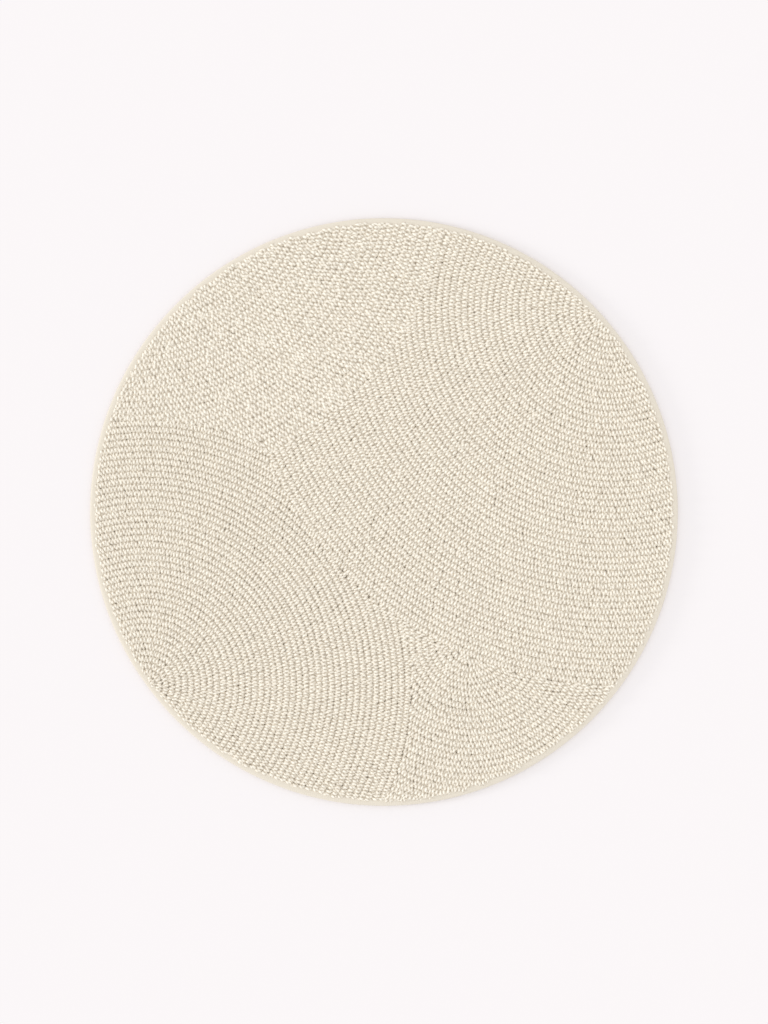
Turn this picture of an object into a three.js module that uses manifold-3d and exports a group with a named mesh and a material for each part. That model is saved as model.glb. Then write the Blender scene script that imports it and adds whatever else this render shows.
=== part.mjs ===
// A round wool rug, 1.2 m across, lying flat: a field of loop pile tufted in rows, and the
// whipped binding round its edge. Millimetres, +Z up. The origin is the middle of the underside.
//
// The rows run in circles about four middles, so the pile falls into four regions. Each region is
// the part of a round disc of rows that shows where the discs lie over one another.
import * as THREE from 'three';
import { mergeVertices } from 'three/addons/utils/BufferGeometryUtils.js';
import Module from 'manifold-3d';

const wasm = await Module();
wasm.setup();

// The whole rug
const RUG_RADIUS = 600;
const RIM_SIDES = 96;
const FIT_GAP = 0.3; // between the field's edge and the binding
const WELD = 1e-4; // corners of a shape closer than this are one corner

// The pile. A row is a ridge, whose crest is the top of its loops
const ROW_PITCH = 13;
const CREST_HEIGHT = 14;
const VALLEY_HEIGHT = 9.6;
const GROUND_HEIGHT = 9; // the floor of the narrow parting between two regions
const ROW_ROOT = 4; // where a row's ridge starts, inside the ground
const PARTING = 1.8; // between a region and the one that lies over it
const PAST_RIM = 12; // what is trimmed off all round

// The binding's section, across its own width
const BINDING_WIDTH = 9;
const BINDING_HEIGHT = 9.6;
const BINDING_FOOT = 7.4; // width that rests on the floor
const BINDING_ROUND = 2.8; // how far below its top and above its foot the sides start to turn in

// A line for each region: the middle of its circles, the outer radius of its outermost row, the
// radius that its innermost row reaches, and the straight sides that stand for a full circle
const REGIONS = {
  upperLeft: { x: -525, y: 721, reach: 666, start: 289, sides: 56 },
  centre: { x: 466, y: 411, reach: 764, start: 10, sides: 48 },
  lowerLeft: { x: -487, y: -354, reach: 542, start: 9, sides: 42 },
  bottom: { x: 180, y: -261, reach: 572, start: 13, sides: 36 },
};

const woolColour = 0xe4d9c9;
const bindingColour = 0xe2d8c6;

const pileMaterial = new THREE.MeshStandardMaterial({
  color: woolColour,
  roughness: 0.95,
  metalness: 0,
});
const bindingMaterial = new THREE.MeshStandardMaterial({
  color: bindingColour,
  roughness: 0.92,
  metalness: 0,
});

// A closed three.js geometry as a solid
function solidOf(geometry) {
  const bare = geometry.clone();
  bare.deleteAttribute('normal');
  bare.deleteAttribute('uv');
  const merged = mergeVertices(bare, WELD);
  return new wasm.Manifold(new wasm.Mesh({
    numProp: 3,
    vertProperties: new Float32Array(merged.getAttribute('position').array),
    triVerts: new Uint32Array(merged.index.array),
  }));
}

// A solid as a three.js geometry
function geometryOf(solid) {
  const mesh = solid.getMesh();
  const geometry = new THREE.BufferGeometry();
  geometry.setAttribute('position', new THREE.BufferAttribute(mesh.vertProperties, mesh.numProp));
  geometry.setIndex(new THREE.BufferAttribute(mesh.triVerts, 1));
  geometry.computeVertexNormals();
  return geometry;
}

// A profile of [radius, height] pairs turned about an upright axis through x, y
function turned(profile, sides, x = 0, y = 0) {
  const points = profile.map(([radius, height]) => new THREE.Vector2(radius, height));
  points.push(points[0].clone());
  const geometry = new THREE.LatheGeometry(points, sides);
  geometry.rotateX(Math.PI / 2);
  geometry.translate(x, y, 0);
  return geometry;
}

// A plain disc between two heights
function disc(radius, low, high, sides, x = 0, y = 0) {
  return solidOf(turned([[0, low], [radius, low], [radius, high], [0, high]], sides, x, y));
}

// All rows of a region before it is trimmed: rings of ridges, from its outermost row inwards
function rowsOf({ x, y, reach, start, sides }) {
  const ridges = [];
  for (let edge = reach; edge > start; edge -= ROW_PITCH) {
    ridges.push([edge, VALLEY_HEIGHT], [edge - ROW_PITCH / 2, CREST_HEIGHT]);
  }
  const inner = ridges[ridges.length - 1][0] - ROW_PITCH / 2;
  const profile = [[inner, ROW_ROOT], [reach, ROW_ROOT], ...ridges, [inner, VALLEY_HEIGHT]];
  return solidOf(turned(profile, sides, x, y));
}

// The space that a region's disc takes from the regions below it
function overlay({ x, y, reach, sides }) {
  return disc(reach + PARTING, 0, 2 * CREST_HEIGHT, sides, x, y);
}

// The discs lie over one another in a ring: the upper left one on the centre one, that one on the
// lower left one, and the lower left one, where it shows, on the upper left one
function pileField() {
  const { upperLeft, centre, lowerLeft, bottom } = REGIONS;
  const overUpperLeft = overlay(lowerLeft).subtract(overlay(centre));
  const rows = [
    rowsOf(upperLeft).subtract(overUpperLeft),
    rowsOf(centre).subtract(overlay(upperLeft)),
    rowsOf(lowerLeft).subtract(overlay(centre)),
    rowsOf(bottom).subtract(overlay(centre)).subtract(overlay(lowerLeft)).subtract(overlay(upperLeft)),
  ];
  const ground = disc(RUG_RADIUS + PAST_RIM / 2, 0, GROUND_HEIGHT, RIM_SIDES);
  const whole = rows.reduce((all, region) => all.add(region), ground);
  const fieldRadius = RUG_RADIUS - BINDING_WIDTH - FIT_GAP;
  const outline = disc(fieldRadius, -CREST_HEIGHT, 2 * CREST_HEIGHT, RIM_SIDES);
  return new THREE.Mesh(geometryOf(whole.intersect(outline)), pileMaterial);
}

// A thick whipped cord of yarn that closes the cut edge, flat where it rests
function edgeBinding() {
  const inner = RUG_RADIUS - BINDING_WIDTH;
  const foot = inner + BINDING_FOOT;
  const crown = inner + BINDING_WIDTH / 2;
  const section = [
    [inner, 0],
    [foot, 0],
    [RUG_RADIUS, BINDING_ROUND],
    [RUG_RADIUS, BINDING_HEIGHT - BINDING_ROUND],
    [foot, BINDING_HEIGHT - BINDING_ROUND / 4],
    [crown, BINDING_HEIGHT],
    [inner, BINDING_HEIGHT - BINDING_ROUND / 3],
  ];
  return new THREE.Mesh(turned(section, RIM_SIDES), bindingMaterial);
}

const field = pileField();
field.name = 'pile_field';
const binding = edgeBinding();
binding.name = 'edge_binding';

const rug = new THREE.Group();
rug.name = 'round_wool_rug';
rug.add(field, binding);

export default rug;
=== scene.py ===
# A round rug of cream wool loop pile, lying flat. Metres, +Z up, origin in the middle of the underside.
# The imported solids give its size. The loops, the ground cloth and the whipped binding are made here.
import math

import bpy
import numpy as np
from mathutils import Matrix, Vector


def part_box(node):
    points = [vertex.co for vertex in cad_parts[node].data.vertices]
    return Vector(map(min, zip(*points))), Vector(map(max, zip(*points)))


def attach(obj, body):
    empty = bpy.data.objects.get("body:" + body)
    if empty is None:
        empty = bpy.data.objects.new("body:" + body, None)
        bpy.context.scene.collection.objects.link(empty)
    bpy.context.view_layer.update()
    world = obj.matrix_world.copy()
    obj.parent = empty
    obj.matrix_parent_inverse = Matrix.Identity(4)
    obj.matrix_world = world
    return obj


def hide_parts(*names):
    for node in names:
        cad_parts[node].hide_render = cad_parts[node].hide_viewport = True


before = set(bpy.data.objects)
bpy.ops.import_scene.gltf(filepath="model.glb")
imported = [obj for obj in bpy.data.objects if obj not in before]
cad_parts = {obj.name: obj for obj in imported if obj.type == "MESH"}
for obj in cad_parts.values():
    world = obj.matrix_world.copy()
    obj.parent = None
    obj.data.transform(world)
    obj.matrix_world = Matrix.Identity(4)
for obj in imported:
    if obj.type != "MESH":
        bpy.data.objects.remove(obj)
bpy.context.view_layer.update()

MM = 0.001

# Sizes that the frame gives
FIELD_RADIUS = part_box("pile_field")[1].x
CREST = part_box("pile_field")[1].z
RUG_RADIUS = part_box("edge_binding")[1].x
BINDING_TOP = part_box("edge_binding")[1].z

# The ground cloth that the loops stand in
GROUND = 3 * MM
CLOTH_SIDES = 192
CLOTH_RINGS = 12

# The rows. Each region is a round disc of rows about its own middle, and the discs lie over one
# another. spacing is the length of row that one loop takes, length is the loop's own, and scatter is
# how far it strays across its row. crown and tip are how strongly shade is painted into the colour of
# its loops' sides and ends.
ROW_PITCH = 13 * MM
REGION_COLUMNS = ("x", "y", "reach", "spacing", "length", "scatter", "crown", "tip")
REGION_ROWS = {
    "upper_left": (-0.525, 0.721, 0.666, 8.8 * MM, 15.6 * MM, 0.8 * MM, 0.45, 0.22),
    "centre": (0.466, 0.411, 0.764, 7.6 * MM, 15.0 * MM, 0.4 * MM, 0.37, 0.37),
    "lower_left": (-0.487, -0.354, 0.542, 7.15 * MM, 14.4 * MM, 0.3 * MM, 0.35, 0.42),
    "bottom": (0.180, -0.261, 0.572, 7.6 * MM, 15.0 * MM, 0.6 * MM, 0.37, 0.33),
}
REGIONS = {name: dict(zip(REGION_COLUMNS, row)) for name, row in REGION_ROWS.items()}
SEAM_CLEAR = 1 * MM  # from a region's edge to the middle of a loop beside it
RIM_CLEAR = 1 * MM  # from the binding to the middle of the nearest loop

# One loop: an oval nub of yarn across its row, longer than its row is wide, so that the ends of
# neighbours mesh. It is as wide as its spacing. LOOP_RINGS goes up from its root: its length, width
# and height there, as shares of its size.
LOOP_SIDES = 10
LOOP_RINGS = ((1.45, 1.45, 0.0), (1.24, 1.28, 0.53), (0.62, 0.68, 0.80), (0.28, 0.32, 0.95))
LOOP_ROOT = 2 * MM
LOOP_TILT = math.radians(27)  # turned anticlockwise from straight across the row
LOOPS_A_PIECE = 2500  # at most, so that no mesh grows too large

# How unlike one another the loops are, as the spread of each thing about its middle value
SPREAD = dict(along=0.07, tilt=math.radians(4), length=0.04, width=0.04, height=0.25 * MM)
SPREAD_LEAN = 0.05  # how far its top leans along it, as a share of its length
LEAN_ACROSS = 0.4  # how far its top leans across it, against that
SPREAD_TONE = 0.5

# Loops at the rim are pressed inwards, so that they hang over the field's edge by this much. What is
# lower than a share of the binding's height stays inside the edge, and their tops lean out past it.
RIM_OVERHANG = 5.5 * MM
TOP_OVERHANG = 5 * MM
TOP_FROM = 0.92
FOOT_CLEAR = 0.2 * MM

# Holes in the cover of loops are looked for on a grid of cells. There a loop covers an oval of half
# this length and width, and a hole counts from this many cells to its edge.
CELL = 1 * MM
COVER_HALF_LENGTH = 6.8 * MM
COVER_HALF_WIDTH = 3.8 * MM
HOLE_DEPTH = 3
HOLE_HALF = 2  # cells to each side that must still be bare when its loop is added
GRID_MARGIN = 12  # cells round the field that a loop's oval may reach

# The binding: yarn whipped round the cut edge. It also lies on the ground under the outermost loops.
BINDING_INNER = RUG_RADIUS - 16 * MM
WRAP_PITCH = 4.2 * MM
WRAP_STEPS = 4
WRAP_RELIEF = 0.45 * MM
WRAP_SLANT = 1.1  # turns that a wrap gains once round the section
SECTION_SIDES = 12
SECTION_POWER = 0.65  # 1 is an oval section, and less is a squarer one

# Where the texture is baked: each loop has a round patch in its own square cell, with the patch of
# its base in the cell's corner, and the binding is laid out in strips. Shares of a cell or a strip.
BAKE_MAP = "OFBake"
LOOP_PATCH = 0.46
BASE_PATCH = 0.05
BASE_PATCH_AT = 0.07
BINDING_STRIPS = 30
STRIP_FILL = 0.92

SEED = 20


def mesh_object(name, verts, faces, smooth=True):
    """A mesh object in the scene, from arrays of points and of faces."""
    mesh = bpy.data.meshes.new(name)
    mesh.from_pydata(np.asarray(verts).tolist(), [], faces)
    mesh.update()
    mesh.polygons.foreach_set("use_smooth", [smooth] * len(mesh.polygons))
    made = bpy.data.objects.new(name, mesh)
    bpy.context.scene.collection.objects.link(made)
    return made


def point_attribute(mesh, name, kind, values):
    """Stores one value for each point of a mesh, for its material to read."""
    key = {"FLOAT": "value", "FLOAT_VECTOR": "vector"}[kind]
    stored = mesh.attributes.new(name, kind, "POINT")
    stored.data.foreach_set(key, np.asarray(values, np.float32).ravel())


def bake_map(mesh, corners):
    """Stores where each corner of each face lies in the baked texture."""
    mesh.uv_layers.new(name=BAKE_MAP).data.foreach_set("uv", np.asarray(corners, np.float32).ravel())


def within(name, x, y, more=0.0):
    """Whether points lie on a region's disc, or within this much of it."""
    region = REGIONS[name]
    return np.hypot(x - region["x"], y - region["y"]) < region["reach"] + more


def owner(x, y, more=0.0):
    """The number of the region whose loops are seen at each point, or -1 if it is too near a seam."""
    upper, centre, lower = (within(n, x, y) for n in ("upper_left", "centre", "lower_left"))
    by_upper, by_centre, by_lower = (within(n, x, y, more) for n in ("upper_left", "centre", "lower_left"))
    found = np.full(np.shape(x), -1)
    found[~(by_upper | by_centre | by_lower)] = 3
    found[lower & ~by_centre] = 2
    found[centre & ~by_upper] = 1
    found[upper & ~(by_lower & ~centre)] = 0
    return found


def loop_places(number, name, rng):
    """The middles of a region's loops, and the direction straight across the row at each."""
    region = REGIONS[name]
    xs, ys, turns = [], [], []
    for row in range(int(region["reach"] / ROW_PITCH)):
        radius = region["reach"] - (row + 0.5) * ROW_PITCH
        count = max(3, round(2 * math.pi * radius / region["spacing"]))
        steps = np.arange(count) + rng.normal(0, SPREAD["along"], count)
        angles = 2 * math.pi * (steps + rng.uniform()) / count
        radii = radius + rng.normal(0, region["scatter"], count)
        xs.append(region["x"] + radii * np.cos(angles))
        ys.append(region["y"] + radii * np.sin(angles))
        turns.append(angles)
    x, y, turn = (np.concatenate(part) for part in (xs, ys, turns))
    seen = (owner(x, y, SEAM_CLEAR) == number) & (np.hypot(x, y) < FIELD_RADIUS - RIM_CLEAR)
    return np.stack([x[seen], y[seen], turn[seen] + LOOP_TILT, np.full(seen.sum(), number)], axis=1)


def cells_under(places, long_half, wide_half):
    """The grid cells that lie under these loops."""
    reach = int(long_half / CELL) + 1
    step = np.arange(-reach, reach + 1)
    column, row = (a.ravel() for a in np.meshgrid(step, step))
    middle = np.round((places[:, :2] + FIELD_RADIUS) / CELL).astype(int)
    columns, rows = middle[:, :1] + column, middle[:, 1:] + row
    dx = columns * CELL - FIELD_RADIUS - places[:, :1]
    dy = rows * CELL - FIELD_RADIUS - places[:, 1:2]
    cos, sin = np.cos(places[:, 2:3]), np.sin(places[:, 2:3])
    under = ((dx * cos + dy * sin) / long_half) ** 2 + ((dy * cos - dx * sin) / wide_half) ** 2 < 1
    return rows[under], columns[under]


def fill_holes(places, rng):
    """Adds a loop wherever the rows leave a hole, along the seams and the rim."""
    count = round(2 * FIELD_RADIUS / CELL) + 1
    line = np.arange(count) * CELL - FIELD_RADIUS
    x, y = np.meshgrid(line, line)
    margin = GRID_MARGIN
    bare = np.zeros((count + 2 * margin, count + 2 * margin), bool)
    bare[margin:-margin, margin:-margin] = np.hypot(x, y) < FIELD_RADIUS - RIM_CLEAR

    def cover(new):
        rows, columns = cells_under(new, COVER_HALF_LENGTH, COVER_HALF_WIDTH)
        bare[rows + margin, columns + margin] = False

    def near(cell):
        return slice(cell - HOLE_HALF, cell + HOLE_HALF + 1)

    cover(places)
    depth = np.zeros(bare.shape, int)
    left = bare.copy()
    while left.any():
        depth += left
        left[1:-1, 1:-1] = (
            left[1:-1, 1:-1] & left[:-2, 1:-1] & left[2:, 1:-1] & left[1:-1, :-2] & left[1:-1, 2:]
        )
    rows, columns = np.nonzero(depth >= HOLE_DEPTH)
    order = np.lexsort((rng.permutation(len(rows)), -depth[rows, columns]))
    added = []
    for row, column in zip(rows[order], columns[order]):
        if not bare[near(row), near(column)].all():
            continue
        px, py = (column - margin) * CELL - FIELD_RADIUS, (row - margin) * CELL - FIELD_RADIUS
        number = int(owner(np.array([px]), np.array([py]))[0])
        region = list(REGIONS.values())[number]
        turn = math.atan2(py - region["y"], px - region["x"]) + LOOP_TILT
        added.append((px, py, turn, number))
        cover(np.array(added[-1:]))
    return np.concatenate([places, np.array(added)]) if added else places


def loop_template():
    """A loop of size 1 as points (along its length, across it, up), and its faces."""
    turn = 2 * math.pi * np.arange(LOOP_SIDES) / LOOP_SIDES
    points = [
        (long * math.cos(a) / 2, wide * math.sin(a) / 2, up) for long, wide, up in LOOP_RINGS for a in turn
    ]
    points.append((0.0, 0.0, 1.0))
    faces = []
    for ring in range(len(LOOP_RINGS) - 1):
        low, high = ring * LOOP_SIDES, (ring + 1) * LOOP_SIDES
        for k in range(LOOP_SIDES):
            after = (k + 1) % LOOP_SIDES
            faces.append((low + k, low + after, high + after, high + k))
    last, top = (len(LOOP_RINGS) - 1) * LOOP_SIDES, len(points) - 1
    faces += [(last + k, last + (k + 1) % LOOP_SIDES, top) for k in range(LOOP_SIDES)]
    faces.append(tuple(reversed(range(LOOP_SIDES))))
    return np.array(points), faces


def loop_patch(faces):
    """Where each corner of a loop's faces lies in its cell of the baked texture."""
    rings = len(LOOP_RINGS)
    patch = []
    for face in faces:
        for point in face:
            ring, side = divmod(point, LOOP_SIDES)
            turn = 2 * math.pi * side / LOOP_SIDES
            base = len(face) == LOOP_SIDES
            radius = BASE_PATCH if base else LOOP_PATCH * (rings - ring) / rings
            middle = BASE_PATCH_AT if base else 0.5
            patch.append((middle + radius * math.cos(turn), middle + radius * math.sin(turn)))
    return np.array(patch)


def loops(name, places, region, rng):
    """One mesh of all these loops, each a little unlike the others."""
    shape, shape_faces = loop_template()
    n = len(places)
    length = region["length"] * (1 + rng.normal(0, SPREAD["length"], n))
    width = region["spacing"] * (1 + rng.normal(0, SPREAD["width"], n))
    height = CREST - LOOP_ROOT + rng.normal(0, SPREAD["height"], n)
    lean = rng.normal(0, SPREAD_LEAN, (n, 2)) * length[:, None]
    angle = places[:, 2] + rng.normal(0, SPREAD["tilt"], n)
    tone = rng.normal(0, SPREAD_TONE, n)

    # Loops at the rim are pressed inwards by the binding, and their tops lean over it a little
    x, y = places[:, 0], places[:, 1]
    off = angle - np.arctan2(y, x)
    extent = np.hypot(length / 2 * np.cos(off), width / 2 * np.sin(off))
    out = np.hypot(x, y)
    pressed = np.minimum(out, FIELD_RADIUS + RIM_OVERHANG - extent) / out
    x, y = x * pressed, y * pressed

    up = shape[:, 2]
    along = shape[:, 0] * length[:, None] + lean[:, :1] * up**2
    across = shape[:, 1] * width[:, None] + lean[:, 1:] * LEAN_ACROSS * up**2
    cos, sin = np.cos(angle)[:, None], np.sin(angle)[:, None]
    px, py = x[:, None] + along * cos - across * sin, y[:, None] + along * sin + across * cos
    pz = LOOP_ROOT + up * height[:, None]
    limit = FIELD_RADIUS + np.where(pz < TOP_FROM * BINDING_TOP, -FOOT_CLEAR, TOP_OVERHANG)
    inwards = np.minimum(1, limit / np.hypot(px, py))
    points = np.stack([px * inwards, py * inwards, pz], axis=2)
    faces = [tuple(i + k * len(shape) for i in face) for k in range(n) for face in shape_faces]
    made = mesh_object(name, points.reshape(-1, 3), faces)
    grid = math.ceil(math.sqrt(n))
    cells = np.stack([np.arange(n) % grid, np.arange(n) // grid], axis=1)
    bake_map(made.data, (cells[:, None] + loop_patch(shape_faces)) / grid)
    local = np.broadcast_to(shape, (n, *shape.shape))
    point_attribute(made.data, "loop_place", "FLOAT_VECTOR", local)
    point_attribute(made.data, "loop_tone", "FLOAT", np.repeat(tone, len(shape)))
    return made


def pile():
    """The loops of every region, each piece with its region's name, split to a handy size."""
    rng = np.random.default_rng(SEED)
    rows = [loop_places(number, name, rng) for number, name in enumerate(REGIONS)]
    places = fill_holes(np.concatenate(rows), rng)
    made = []
    for number, (name, region) in enumerate(REGIONS.items()):
        own = places[places[:, 3] == number]
        order = np.argsort(np.arctan2(own[:, 1] - region["y"], own[:, 0] - region["x"]), kind="stable")
        parts = math.ceil(len(own) / LOOPS_A_PIECE)
        for part, chosen in enumerate(np.array_split(order, parts), 1):
            label = f"loops_{name}" + (f"_{part}" if parts > 1 else "")
            made.append((name, loops(label, own[chosen], region, rng)))
    return made


def ground_cloth():
    """The cloth that the loops are tufted through: a thin round sheet."""
    sides, rings = CLOTH_SIDES, CLOTH_RINGS
    turn = 2 * math.pi * np.arange(sides) / sides
    radii = np.linspace(0, FIELD_RADIUS, rings + 1)[1:]
    points, faces = [], []
    for level in (GROUND, 0.0):
        start = len(points)
        points.append((0.0, 0.0, level))
        points += [(r * math.cos(a), r * math.sin(a), level) for r in radii for a in turn]
        for k in range(sides):
            after = (k + 1) % sides
            found = [(start, start + 1 + k, start + 1 + after)]
            for ring in range(rings - 1):
                low = start + 1 + ring * sides
                found.append((low + k, low + sides + k, low + sides + after, low + after))
            faces += found if level else [tuple(reversed(f)) for f in found]
    top_rim = 1 + (rings - 1) * sides
    low_rim = top_rim + 1 + rings * sides
    for k in range(sides):
        after = (k + 1) % sides
        faces.append((top_rim + k, low_rim + k, low_rim + after, top_rim + after))
    return mesh_object("ground_cloth", points, faces, smooth=False)


def edge_binding():
    """Yarn whipped closely round the cut edge, as one ring with a ridge for each wrap."""
    wraps = round(2 * math.pi * RUG_RADIUS / WRAP_PITCH)
    steps = wraps * WRAP_STEPS
    turn = 2 * math.pi * np.arange(steps) / steps
    side = 2 * math.pi * (np.arange(SECTION_SIDES) + 0.5) / SECTION_SIDES
    half_width, half_height = (RUG_RADIUS - BINDING_INNER) / 2, BINDING_TOP / 2
    phase = wraps * turn[:, None] + WRAP_SLANT * side[None, :]
    ridge = WRAP_RELIEF * (np.abs(np.cos(phase / 2)) - 1)
    out = (half_width + ridge) * np.sign(np.cos(side)) * np.abs(np.cos(side)) ** SECTION_POWER
    up = (half_height + ridge) * np.sign(np.sin(side)) * np.abs(np.sin(side)) ** SECTION_POWER
    radius = RUG_RADIUS - half_width + out
    height = np.maximum(half_height + up, 0.0)
    points = np.stack([radius * np.cos(turn)[:, None], radius * np.sin(turn)[:, None], height], axis=2)
    faces = []
    for k in range(steps):
        here, there = k * SECTION_SIDES, (k + 1) % steps * SECTION_SIDES
        for s in range(SECTION_SIDES):
            after = (s + 1) % SECTION_SIDES
            faces.append((here + s, there + s, there + after, here + after))
    made = mesh_object("binding", points.reshape(-1, 3), faces)

    # Each strip of the baked texture holds the same number of steps, side by side
    per_strip = math.ceil(steps / BINDING_STRIPS)
    step, s = (a[..., None] for a in np.meshgrid(np.arange(steps), np.arange(SECTION_SIDES), indexing="ij"))
    u = (step % per_strip + np.array([0, 1, 1, 0])) / per_strip
    v = (step // per_strip + STRIP_FILL * (s + np.array([0, 0, 1, 1])) / SECTION_SIDES) / BINDING_STRIPS
    bake_map(made.data, np.stack([(1 + STRIP_FILL * (2 * u - 1)) / 2, v], axis=-1))
    return made


class Nodes:
    """A material's nodes, made and wired in few words."""

    def __init__(self, name):
        self.material = bpy.data.materials.new(name)
        self.material.use_nodes = True
        self.tree = self.material.node_tree
        self.surface = self.tree.nodes["Principled BSDF"]

    def add(self, kind, inputs=None, **settings):
        node = self.tree.nodes.new("ShaderNode" + kind)
        for key, value in settings.items():
            setattr(node, key, value)
        for socket, value in (inputs or {}).items():
            self.put(node.inputs[socket], value)
        return node

    def put(self, socket, value):
        if isinstance(value, bpy.types.NodeSocket):
            self.tree.links.new(value, socket)
        else:
            socket.default_value = value

    def maths(self, operation, *values):
        node = self.add("Math", operation=operation)
        for socket, value in zip(node.inputs, values):
            self.put(socket, value)
        return node.outputs[0]

    def ramp(self, value, low, high, to_low=0.0, to_high=1.0):
        ends = {"From Min": low, "From Max": high, "To Min": to_low, "To Max": to_high}
        node = self.add("MapRange", ends)
        self.put(node.inputs["Value"], value)
        return node.outputs["Result"]

    def mix(self, factor, a, b):
        """Two colours mixed. The node's colour sockets are inputs 6 and 7 and output 2."""
        node = self.add("Mix", data_type="RGBA")
        self.put(node.inputs["Factor"], factor)
        self.put(node.inputs[6], a)
        self.put(node.inputs[7], b)
        return node.outputs[2]

    def total(self, *parts):
        """The sum of values, each times its own number."""
        terms = [self.maths("MULTIPLY", value, share) for value, share in parts]
        whole = terms[0]
        for term in terms[1:]:
            whole = self.maths("ADD", whole, term)
        return whole

    def bump(self, height, strength, distance):
        node = self.add("Bump", {"Height": height, "Strength": strength, "Distance": distance})
        self.put(self.surface.inputs["Normal"], node.outputs[0])

    def wool_finish(self):
        """Matt, with the soft sheen of wool."""
        self.surface.inputs["Roughness"].default_value = ROUGHNESS
        self.surface.inputs["Specular IOR Level"].default_value = 0.2
        self.surface.inputs["Sheen Weight"].default_value = 0.25
        self.surface.inputs["Sheen Roughness"].default_value = 0.5

    def noise(self, place, scale, detail, rough):
        node = self.add("TexNoise", {"Vector": place, "Scale": scale, "Detail": detail, "Roughness": rough})
        return node.outputs["Fac"]


def linear(red, green, blue):
    """An sRGB colour of 0 to 255 as Blender's linear colour."""
    parts = [v / 255 for v in (red, green, blue)]
    return (*[v / 12.92 if v <= 0.04045 else ((v + 0.055) / 1.055) ** 2.4 for v in parts], 1.0)


# The pile's colour, with light and shade painted into it. PILE_DEEP is painted shade at the sides and
# the ends of each loop and in the grooves between its plies, and PILE_PALE is a painted highlight along
# its crown; random tufts and fuzz shift between them as the wool's own tone. The edges say where a
# loop's painted highlight ends, from its crown out to its sides and its ends, as shares of its width and
# length.
PILE_DEEP = (207, 196, 179)
PILE_PALE = (255, 249, 236)
PILE_MIDDLE = 0.52
CROWN_EDGE = (0.09, 0.37)
CROWN_MEAN = 0.56
TIP_EDGE = (0.25, 0.42)
TIP_MEAN = 0.62
PLY_ALONG = 11.0  # radians that the yarn's plies turn over the loop's length
PLY_ACROSS = 5.0  # and over its width
PLY_TONE = 5.0  # and from loop to loop
# How strongly the plies are painted into the colour: paler on their crests, painted shade in the grooves
# between them
PLY_SHADE_SHARE = 0.42
TUFT_SHARE = 2.1
FUZZ_SHARE = 0.6
TONE_REACH = 1.5  # the tone at which a loop is palest or deepest
TONE_RANGE = (0.97, 1.03)

# Noise as scale, detail and roughness. The scale is in cells a metre.
TUFT_NOISE = (290.0, 1.0, 0.5)
FUZZ_NOISE = (900.0, 3.0, 0.6)
BINDING_NOISE = (700.0, 3.0, 0.6)
WEAVE_NOISE = (300.0, 3.0, 0.6)
NOISE_MEAN = 0.5

# Bumps as strength and depth
WOOL_BUMP = (0.4, 0.5 * MM)
WEAVE_BUMP = (0.5, 0.4 * MM)
FUZZ_BUMP_SHARE = 1.2

# The yarn of the binding and the weave of the ground cloth
BINDING_DEEP = (222, 213, 197)
BINDING_PALE = (238, 230, 216)
GROUND_DEEP = (232, 222, 203)
GROUND_PALE = (247, 239, 223)
WEAVE_TURN = 2200.0  # radians of the weave in a metre
WEAVE_SHARE = 0.5  # of the cloth's tone, and the rest is fuzz
ROUGHNESS = 0.95


def pile_wool(name, crown_shade_share, tip_shade_share):
    """Cream wool, with a painted highlight along the crown of each loop and painted shade at its sides, its
    ends and between its plies.
    """
    n = Nodes("pile_wool_" + name)
    place = n.add("TexCoord").outputs["Object"]
    local = n.add("Attribute", attribute_name="loop_place").outputs["Vector"]
    tone = n.add("Attribute", attribute_name="loop_tone").outputs["Fac"]
    along, across = n.add("SeparateXYZ", {"Vector": local}).outputs[:2]
    fuzz = n.maths("SUBTRACT", n.noise(place, *FUZZ_NOISE), NOISE_MEAN)
    tufts = n.maths("SUBTRACT", n.noise(place, *TUFT_NOISE), NOISE_MEAN)
    # A painted highlight along each loop's crown, turning to painted shade towards its sides and its ends
    crown = n.ramp(n.maths("ABSOLUTE", across), *CROWN_EDGE, 1 - CROWN_MEAN, -CROWN_MEAN)
    tip = n.ramp(n.maths("ABSOLUTE", along), *TIP_EDGE, 1 - TIP_MEAN, -TIP_MEAN)
    # The plies of the yarn run slantwise over the loop. They are a bump, and also painted shade in the
    # colour.
    turn = n.total((along, PLY_ALONG), (across, PLY_ACROSS), (tone, PLY_TONE))
    ply = n.maths("SINE", turn)
    painted_shading = ((crown, crown_shade_share), (tip, tip_shade_share), (ply, PLY_SHADE_SHARE))
    by_chance = ((tufts, TUFT_SHARE), (fuzz, FUZZ_SHARE))
    shade = n.maths("ADD", n.total(*painted_shading, *by_chance), PILE_MIDDLE)
    toned = n.add("VectorMath", operation="SCALE")
    n.put(toned.inputs[0], n.mix(shade, linear(*PILE_DEEP), linear(*PILE_PALE)))
    n.put(toned.inputs["Scale"], n.ramp(tone, -TONE_REACH, TONE_REACH, *TONE_RANGE))
    n.put(n.surface.inputs["Base Color"], toned.outputs[0])
    n.bump(n.total((ply, 1.0), (fuzz, FUZZ_BUMP_SHARE)), *WOOL_BUMP)
    n.wool_finish()
    return n.material


def binding_wool():
    n = Nodes("binding_wool")
    place = n.add("TexCoord").outputs["Object"]
    fuzz = n.noise(place, *BINDING_NOISE)
    colour = n.mix(fuzz, linear(*BINDING_DEEP), linear(*BINDING_PALE))
    n.put(n.surface.inputs["Base Color"], colour)
    n.bump(fuzz, *WOOL_BUMP)
    n.wool_finish()
    return n.material


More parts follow.
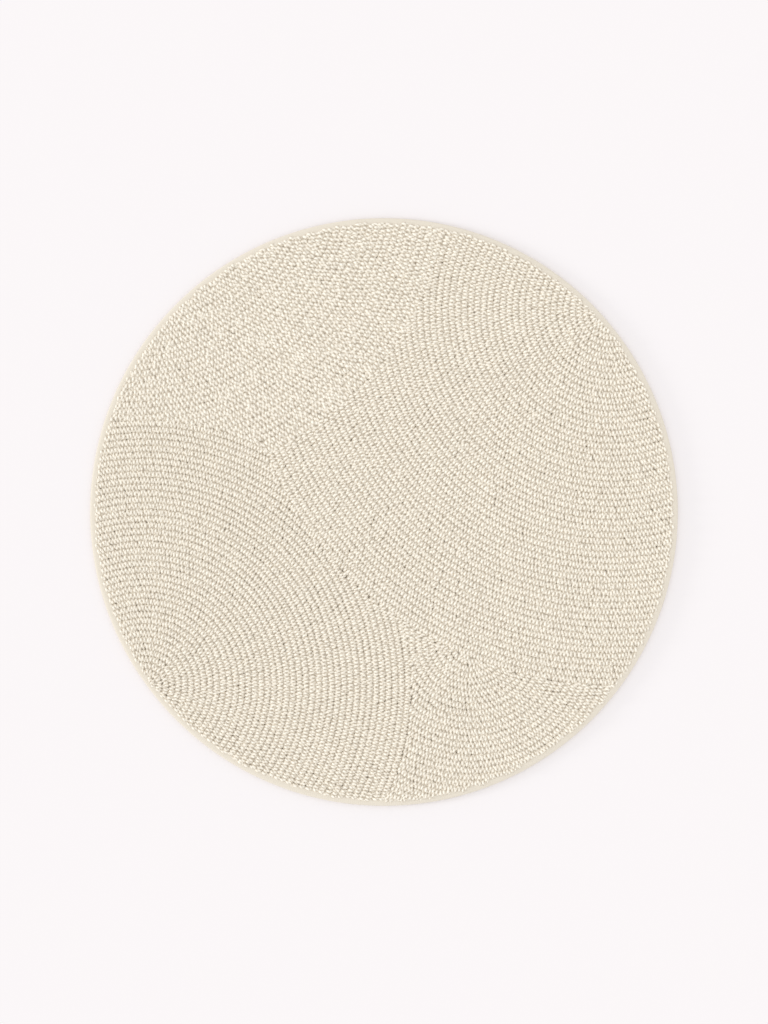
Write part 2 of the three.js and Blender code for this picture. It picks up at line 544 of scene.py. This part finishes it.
def ground_weave():
    n = Nodes("ground_weave")
    place = n.add("TexCoord").outputs["Object"]
    parts = n.add("SeparateXYZ", {"Vector": place})
    warp = n.maths("SINE", n.maths("MULTIPLY", parts.outputs[0], WEAVE_TURN))
    weft = n.maths("SINE", n.maths("MULTIPLY", parts.outputs[1], WEAVE_TURN))
    weave = n.maths("MULTIPLY", warp, weft)
    fuzz = n.noise(place, *WEAVE_NOISE)
    woven = n.ramp(weave, -1.0, 1.0, 0.0, WEAVE_SHARE)
    mixed = n.maths("ADD", woven, n.maths("MULTIPLY", fuzz, 1 - WEAVE_SHARE))
    colour = n.mix(mixed, linear(*GROUND_DEEP), linear(*GROUND_PALE))
    n.put(n.surface.inputs["Base Color"], colour)
    n.bump(weave, *WEAVE_BUMP)
    n.surface.inputs["Roughness"].default_value = ROUGHNESS
    return n.material


def dress(piece, material, node):
    """Gives a piece its material and ties it to the part."""
    piece.data.materials.append(material)
    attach(piece, "root")
    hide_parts(node)


# The camera looks straight down. The picture is 768 by 1024 and the rug's middle is in its middle.
PICTURE_HEIGHT = 1024
RUG_PIXELS = 293.85  # the rug's radius in the picture
LENS = 70.0
SENSOR = 36.0
FLOOR_HALF = 60.0
FLOOR_GAP = 0.2 * MM  # between the rug and the floor, so that their faces don't lie in one plane
FLOOR_COLOUR = (244, 240, 241)
STUDIO_STRENGTH = 1.019
SUN_STRENGTH = 0.9
SUN_WIDTH = math.radians(9)
SUN_HEIGHT = math.radians(10.5)
SUN_AWAY = 3.0


def camera():
    data = bpy.data.cameras.new("camera")
    data.lens, data.sensor_width = LENS, SENSOR
    tall = RUG_RADIUS / RUG_PIXELS * PICTURE_HEIGHT
    made = bpy.data.objects.new("camera", data)
    made.location = (0.0, 0.0, tall * LENS / SENSOR + BINDING_TOP / 2)
    bpy.context.scene.collection.objects.link(made)
    bpy.context.scene.camera = made


def floor():
    half = FLOOR_HALF
    corners = [(-half, -half, 0), (half, -half, 0), (half, half, 0), (-half, half, 0)]
    made = mesh_object("floor", corners, [(0, 1, 2, 3)], smooth=False)
    made.location.z = -FLOOR_GAP
    n = Nodes("pale_floor")
    n.surface.inputs["Base Color"].default_value = linear(*FLOOR_COLOUR)
    n.surface.inputs["Roughness"].default_value = 1.0
    n.surface.inputs["Specular IOR Level"].default_value = 0.0
    made.data.materials.append(n.material)


def light():
    """An even white studio, and a soft low light from the left."""
    world = bpy.data.worlds.new("studio")
    world.use_nodes = True
    world.node_tree.nodes["Background"].inputs["Color"].default_value = (1.0, 1.0, 1.0, 1.0)
    world.node_tree.nodes["Background"].inputs["Strength"].default_value = STUDIO_STRENGTH
    bpy.context.scene.world = world
    lamp = bpy.data.lights.new("window", "SUN")
    lamp.energy = SUN_STRENGTH
    lamp.angle = SUN_WIDTH
    made = bpy.data.objects.new("window", lamp)
    direction = Vector((-math.cos(SUN_HEIGHT), 0, math.sin(SUN_HEIGHT)))
    made.rotation_euler = direction.to_track_quat("Z", "Y").to_euler()
    made.location = direction * SUN_AWAY
    bpy.context.scene.collection.objects.link(made)


camera()
light()
floor()
scene = bpy.context.scene
scene.view_settings.view_transform = "Standard"

pile_pieces = pile()
wools = {name: pile_wool(name, region["crown"], region["tip"]) for name, region in REGIONS.items()}
for name, piece in pile_pieces:
    dress(piece, wools[name], "pile_field")
cloth = ground_cloth()
dress(cloth, ground_weave(), "pile_field")
ring = edge_binding()
dress(ring, binding_wool(), "edge_binding")
